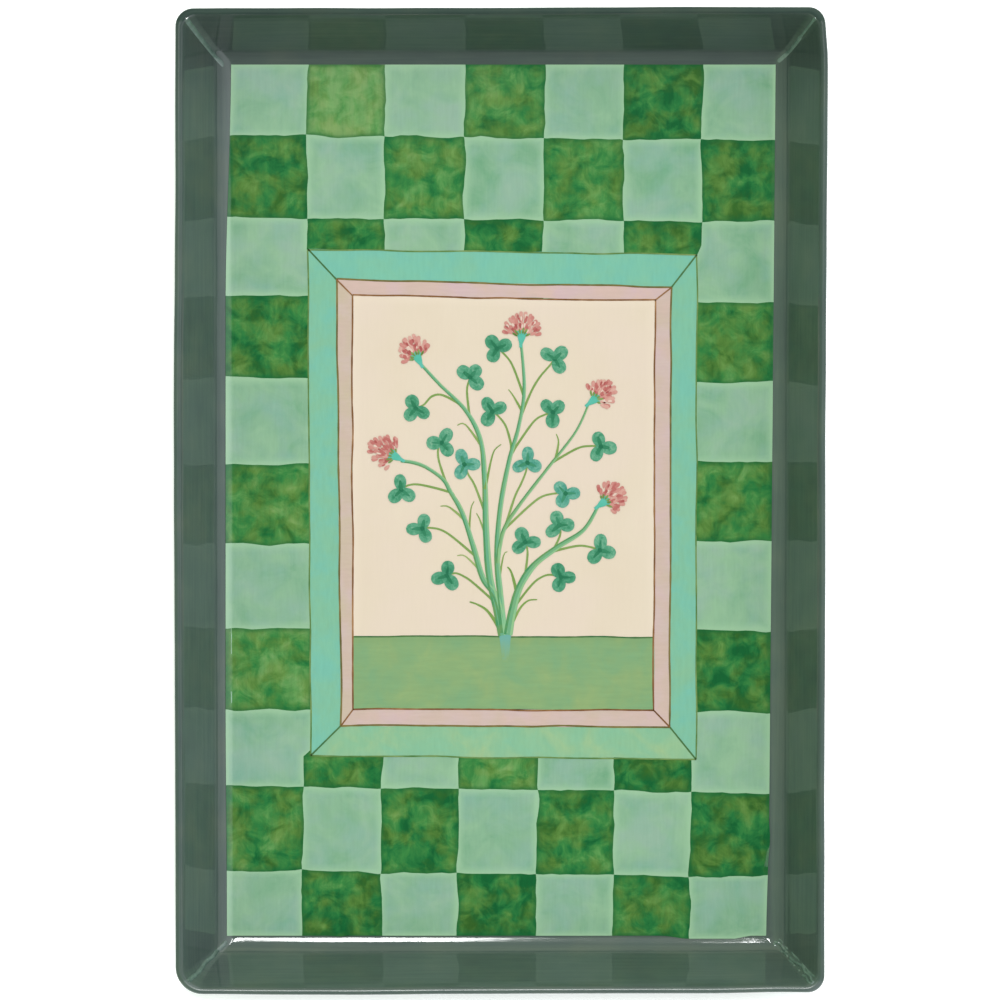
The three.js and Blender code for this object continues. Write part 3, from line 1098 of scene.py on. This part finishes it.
def petal(film, foot, heading, along, aside, long, wide, tone):
    """One brush touch in a flower head, along above the stem's end and aside from its middle line."""
    middle = from_point(from_point(foot, heading, along), heading - 90, aside)
    outwards = math.degrees(math.atan2(aside, along - 1.0))
    start = from_point(middle, heading - outwards, -long / 2)
    tip = from_point(middle, heading - outwards, long / 2)
    ribbon(film, [start, tip], drop_width(wide, 0.62), tone, 0.3)


def cup_width(share):
    """The width of the green cup under a flower head, which opens out from the stem."""
    return mix(0.9, 2.7, smooth(0.1, 0.9, share))


def build_flowers(petals, calyx, sepals):
    """Each flower head is a fan of pale petals under deeper touches, in a green cup with small sepals."""
    random.seed(43)
    under, touches, cups, leaves = (
        Film(PRINT + layer, lift=STROKE_LIFT) for layer in (0.18, 0.23, 0.21, 0.27)
    )
    for head in HEADS:
        (foot,) = on_plant([head["stem_end"]])
        heading, base, top = head["heading"], 2.4, head["height"]
        half = head["spread"] / 2
        for ring, count in PETAL_RINGS:
            for i in range(count):
                turn = math.radians(mix(-96, 96, (i + 0.5) / count) + random.uniform(-6, 6))
                reach = ring * random.uniform(0.94, 1.06)
                along = base + reach * math.cos(turn) * (top - base - 0.6) + 0.7
                aside = reach * math.sin(turn) * (half - 0.4)
                tone = random.choice((0.88, 0.75, 0.62)) - head["depth"] * 0.5
                petal(under, foot, heading, along, aside, 2.2, 1.15, tone)
        for i in range(30):
            turn = math.radians(random.uniform(-92, 92))
            reach = random.uniform(0.15, 1.0) ** 0.6
            along = base + reach * math.cos(turn) * (top - base - 0.8) + 0.6
            aside = reach * math.sin(turn) * (half - 0.5)
            deep = 0.32 if random.random() < 0.5 + head["depth"] else 0.1
            deep = 1.1 if random.random() < 0.22 else deep
            long, wide = random.uniform(1.1, 1.7), random.uniform(0.5, 0.8)
            petal(touches, foot, heading, along, aside, long, wide, deep)
        neck = from_point(foot, heading, 1.6)
        down_stem, into_head = from_point(foot, heading, -1.4), from_point(foot, heading, 2.9)
        ribbon(cups, [down_stem, foot, into_head], cup_width, 0.6)
        for splay in (-34, 0, 34):
            ribbon(cups, [neck, from_point(neck, heading + splay, 2.6)], drop_width(1.2), 0.4)
        for splay in (-62, -30, -8, 20, 48, 70):
            start = from_point(neck, heading + splay, 1.3)
            tip = from_point(start, heading + splay * 0.9, random.uniform(1.2, 2.1))
            ribbon(leaves, [start, tip], drop_width(0.6), random.uniform(0.2, 0.8), 0.4)
    under.make("clover_flower_petals", petals)
    touches.make("clover_flower_touches", petals)
    cups.make("clover_flower_cups", calyx)
    leaves.make("clover_flower_sepals", sepals)


# ---------------------------------------------------------------- rim wire and corner seams


def ring_section(rim, radius, sides):
    """Points of a wire's section round the middle of the rolled edge."""
    across, up = rim - HEM, TRAY_HEIGHT - HEM
    angles = [-2 * math.pi * i / sides for i in range(sides)]
    return [(across + radius * math.cos(t), up + radius * math.sin(t), 0.0) for t in angles]


def build_rim_wire(material):
    """The steel wire inside the rolled edge, seen only through the slit under it."""
    radius, sides = 0.5, 12
    table = {name: ring_section(rim, radius, sides) for name, rim in RIMS.items()}
    stations = outline_steps()
    count = len(stations)
    corners = [pan_point(station, level, table) for level in range(sides) for station in stations]
    faces = []
    for level in range(sides):
        here, above = level * count, (level + 1) % sides * count
        for i in range(count):
            j = (i + 1) % count
            faces.append((here + i, above + i, above + j, here + j))
    return make_object("rim_wire_steel", corners, faces, material)


# Brazed seams run between these steps of the section, cut finer between them and tapered at their ends.
SEAM_STARTS, SEAM_ENDS = 6, 38
SEAM_CUTS = 3
SEAM_TAPER = 6
SEAM_SIDES = 14
# Each corner has its own hand: where round the corner the seam runs at the rim and at the floor, how far
# its ridges wander and over what length, where they lie, how wide they are, how proud they stand and how
# much they come and go.
SEAMS = {
    "left_far": {"signs": (-1, 1), "turn": (0.5, 0.95), "wander": 0.3, "reach": 18, "ridges": (0.0,),
                 "wide": 2.4, "proud": 0.2, "gaps": 0.0},
    "right_far": {"signs": (1, 1), "turn": (0.5, 0.4), "wander": 0.4, "reach": 9, "ridges": (0.0,),
                  "wide": 1.9, "proud": 0.16, "gaps": 0.4},
    "left_near": {"signs": (-1, -1), "turn": (0.5, 0.45), "wander": 0.7, "reach": 5, "ridges": (0.0,),
                  "wide": 1.8, "proud": 0.34, "gaps": 1.0},
    "right_near": {"signs": (1, -1), "turn": (0.5, 0.5), "wander": 0.9, "reach": 3.5,
                   "ridges": (-0.9, 0.2, 1.2), "wide": 1.2, "proud": 0.36, "gaps": 0.8},
}


def corner_station(signs, turn_share):
    """A place on a corner of the tray, from 0 at its start to 1 at its end, anticlockwise."""
    order = [(1, 1), (-1, 1), (-1, -1), (1, -1)]
    corner = order.index(signs)
    return signs, signs, (corner + turn_share) * math.pi / 2, 0.0


def build_seam(name, signs, turn, wander, reach, ridges, wide, proud, gaps, material):
    """Ridges of brazing metal down one corner, proud of the iron inside and out, lacquered over."""
    corners, faces = [], []
    steps = SEAM_CUTS * (SEAM_ENDS - SEAM_STARTS)
    for number, offset in enumerate(ridges):
        seed = number * 7.3 + signs[0] * 2.1 + signs[1] * 4.7
        rings = []
        for step in range(steps + 1):
            level = SEAM_STARTS + step // SEAM_CUTS
            share = (step % SEAM_CUTS) / SEAM_CUTS
            turn_share = mix(turn[1], turn[0], smooth(0.0, 1.0, step / steps))
            station = corner_station(signs, turn_share)
            low = Vector(pan_point(station, level))
            high = Vector(pan_point(station, level + 1))
            before = Vector(pan_point(corner_station(signs, turn_share - 0.05), level))
            after = Vector(pan_point(corner_station(signs, turn_share + 0.05), level))
            across = (after - before).normalized()
            outwards = (high - low).cross(across).normalized()
            if outwards.z > 0:
                outwards.negate()
            place = low.lerp(high, share)
            along = (place - Vector(pan_point(station, SEAM_STARTS))).length
            stray = wander * noise.noise(Vector((along / reach, seed, 0)))
            swell = 1 - gaps * smooth(-0.1, 0.35, noise.noise(Vector((along / (0.7 * reach), seed, 5))))
            end = min(step, steps - step) / SEAM_TAPER
            swell = max(swell, 0.0) * min(end, 1.0)
            centre = place + across * (offset + stray) + outwards * (IRON / 2)
            half_high = IRON / 2 - 0.1 + (0.1 + proud) * swell
            half_wide = wide / 2 * (0.7 + 0.3 * swell)
            rings.append([
                centre + across * (half_wide * math.cos(t)) - outwards * (half_high * math.sin(t))
                for t in (2 * math.pi * i / SEAM_SIDES for i in range(SEAM_SIDES))
            ])
        first = len(corners)
        corners.extend(tuple(point) for ring in rings for point in ring)
        for r in range(len(rings) - 1):
            a, b = first + r * SEAM_SIDES, first + (r + 1) * SEAM_SIDES
            for i in range(SEAM_SIDES):
                j = (i + 1) % SEAM_SIDES
                faces.append((a + i, a + j, b + j, b + i))
        last = first + (len(rings) - 1) * SEAM_SIDES
        faces.append(tuple(first + i for i in range(SEAM_SIDES)))
        faces.append(tuple(last + i for i in reversed(range(SEAM_SIDES))))
    return make_object(f"corner_seam_{name}", corners, faces, material)


# ---------------------------------------------------------------- put it together

set_up_camera()
paper_floor()
studio_light()

lacquer = iron_lacquer("brushed_green_lacquer_on_iron", 1.0, 0.05)
dulled_lacquer = iron_lacquer("green_lacquer_dulled_by_hands", 0.4, 0.25, 0.1)
far_lacquer = iron_lacquer("green_lacquer_rubbed_matt", 0.02, 0.3, 0.03)
near_lacquer = iron_lacquer("green_lacquer_softened_by_wear", 1.0, 0.25)
pan = build_pan(lacquer, dulled_lacquer, near_lacquer, far_lacquer)
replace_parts(pan, "tray_pan")
wire = build_rim_wire(drawn_wire())
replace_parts(wire, "rim_wire")
seam_metal = lacquered_braze()
for corner, seam in SEAMS.items():
    ridge = build_seam(corner, material=seam_metal, **seam)
    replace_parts(ridge, f"corner_braze_{corner}")

# The painter's colours. Each shows its brush and its drying in clouds, patches and gathered edges, and the
# clear lacquer over them all gives the shine.
pale = gouache(
    "pale_green_gouache", [(0.3, "#659271"), (0.5, "#769b7e"), (0.7, "#81a384")], cloud=12,
    tone_share=0.12, other=[(0.3, "#709987"), (0.7, "#839e8d")], other_cloud=14, streak=0.04,
    edge="#8cae8c", edge_share=0.8
)
dark = gouache(
    "dark_green_gouache",
    [(0.42, "#005225"), (0.53, "#1b6530"), (0.63, "#307135"), (0.76, "#4d8143"), (0.93, "#668e54")],
    cloud=6, tone_share=0.2,
    other=[(0.42, "#2d5618"), (0.56, "#496d2a"), (0.72, "#5a7d3b"), (0.9, "#718d52")], other_cloud=8,
    streak=0.12, streak_size=(1.1, 8.0), edge="#095428", edge_share=0.7
)
mint = gouache(
    "mint_gouache", [(0.35, "#6ea892"), (0.55, "#73a589"), (0.75, "#7aa482"), (0.9, "#8ea87d")],
    cloud=14, cloud_share=0.7, tone_share=0.4,
    other=[(0.45, "#6aa695"), (0.65, "#73a589"), (0.9, "#8ba87f")], other_cloud=7, streak=0.04,
    streak_size=(1.0, 6.0)
)
pink = gouache(
    "dusty_pink_gouache", [(0.3, "#bea29a"), (0.55, "#b7a095"), (0.8, "#b3a28e")], cloud=10,
    cloud_share=0.7, tone_share=0.35, other=[(0.3, "#bb9fa3"), (0.6, "#b8a39c"), (0.8, "#b4a38e")],
    other_cloud=8, streak=0.03, streak_size=(6.0, 0.8)
)
cream = gouache(
    "cream_gouache", [(0.3, "#cab9a6"), (0.7, "#cdbdab")], cloud=30,
    other=[(0.3, "#cdbbad"), (0.7, "#ccbaaa")], other_cloud=34, streak=0.01, edge="#d2c1b0",
    edge_share=0.6
)
ground = gouache(
    "meadow_green_gouache", [(0.25, "#719267"), (0.5, "#7a9566"), (0.75, "#859865")], cloud=10,
    other=[(0.3, "#6b936e"), (0.7, "#759366")], other_cloud=14, streak=0.05, streak_size=(9.0, 1.2),
    edge="#6b8756", edge_share=0.4
)
mint_ink = gouache("olive_green_ink", [(0.3, "#3b6530"), (0.7, "#718750")], cloud=8)
green_ink = gouache("dark_green_ink", [(0.3, "#2d5b38"), (0.7, "#4b693a")], cloud=6)
brown_ink = gouache("red_brown_ink", [(0.3, "#5a381d"), (0.5, "#775232"), (0.7, "#9b734d")], cloud=14)
dark_ink = gouache("olive_brown_ink", [(0.3, "#504d28"), (0.7, "#7a6b3e")], cloud=10)
stem = gouache(
    "stem_green_gouache", [(0.2, "#569378"), (0.5, "#5f9674"), (0.85, "#739764")], cloud=8,
    cloud_share=0.5, tone_share=0.7
)
stem_light = gouache("stem_light_gouache", [(0.3, "#76a982"), (0.8, "#89a872")], cloud=5)
stem_shadow = gouache("stem_shadow_gouache", [(0.3, "#2a7c54"), (0.7, "#668851")], cloud=6)
stalk = gouache(
    "stalk_olive_gouache", [(0.2, "#63803d"), (0.5, "#718b4c"), (0.85, "#84995b")], cloud=4,
    cloud_share=0.5, tone_share=0.5
)
blade = gouache(
    "blade_olive_gouache", [(0.2, "#5c7e38"), (0.5, "#718c48"), (0.85, "#91a065")], cloud=4,
    cloud_share=0.5, tone_share=0.6
)
leaf = gouache(
    "clover_green_gouache",
    [(0.52, "#287050"), (0.66, "#3a7f5e"), (0.79, "#508c6f"), (0.95, "#709d81")], cloud=1.3,
    tone_share=0.25, along_share=0.2, edge="#61997e", edge_share=0.35
)
teal_leaf = gouache(
    "clover_teal_gouache", [(0.5, "#28735f"), (0.64, "#3e8371"), (0.77, "#508f7d"), (0.93, "#70a08b")],
    cloud=1.3, tone_share=0.15, along_share=0.2, edge="#669c87", edge_share=0.35
)
vein = gouache(
    "leaf_vein_gouache", [(0.2, "#1b5f42"), (0.5, "#296e4d"), (0.8, "#397c5e")], cloud=2,
    cloud_share=0.5, tone_share=0.6
)
wisp = gouache(
    "root_wash_gouache", [(0.15, "#5f9792"), (0.6, "#6c9781"), (1.0, "#779568")], cloud=3,
    cloud_share=0.3, along_share=0.9
)
petals = gouache(
    "clover_pink_gouache",
    [(0.1, "#924342"), (0.35, "#a65b57"), (0.6, "#b57870"), (0.8, "#c19388"), (1.0, "#cbb3a5")],
    cloud=1.5, cloud_share=0.25, tone_share=0.8
)
cup = gouache("cup_teal_gouache", [(0.3, "#57a698"), (0.7, "#47a089")], cloud=3)
sepal = gouache("sepal_olive_gouache", [(0.3, "#4d672d"), (0.7, "#7a9353")], cloud=2)

build_picture_sheet(pale)
build_dark_checks(dark)
build_frame("paint_mint_frame", MINT_OUTER, PINK_OUTER, PRINT + 0.05, mint, 31, (0.1, 0.4, 1.0, 0.35))
build_frame("paint_pink_frame", PINK_OUTER, PICTURE_EDGE, PRINT + 0.06, pink, 32, (0.1, 0.5, 0.4, 0.9))
build_cream_field(cream)
build_ground(ground)
build_ink(mint_ink, green_ink, brown_ink, dark_ink)
build_root(wisp)
build_stalks_and_blades(stalk, blade)
build_stems(stem, stem_light, stem_shadow)
build_leaves(leaf, teal_leaf, vein)
build_flowers(petals, cup, sepal)
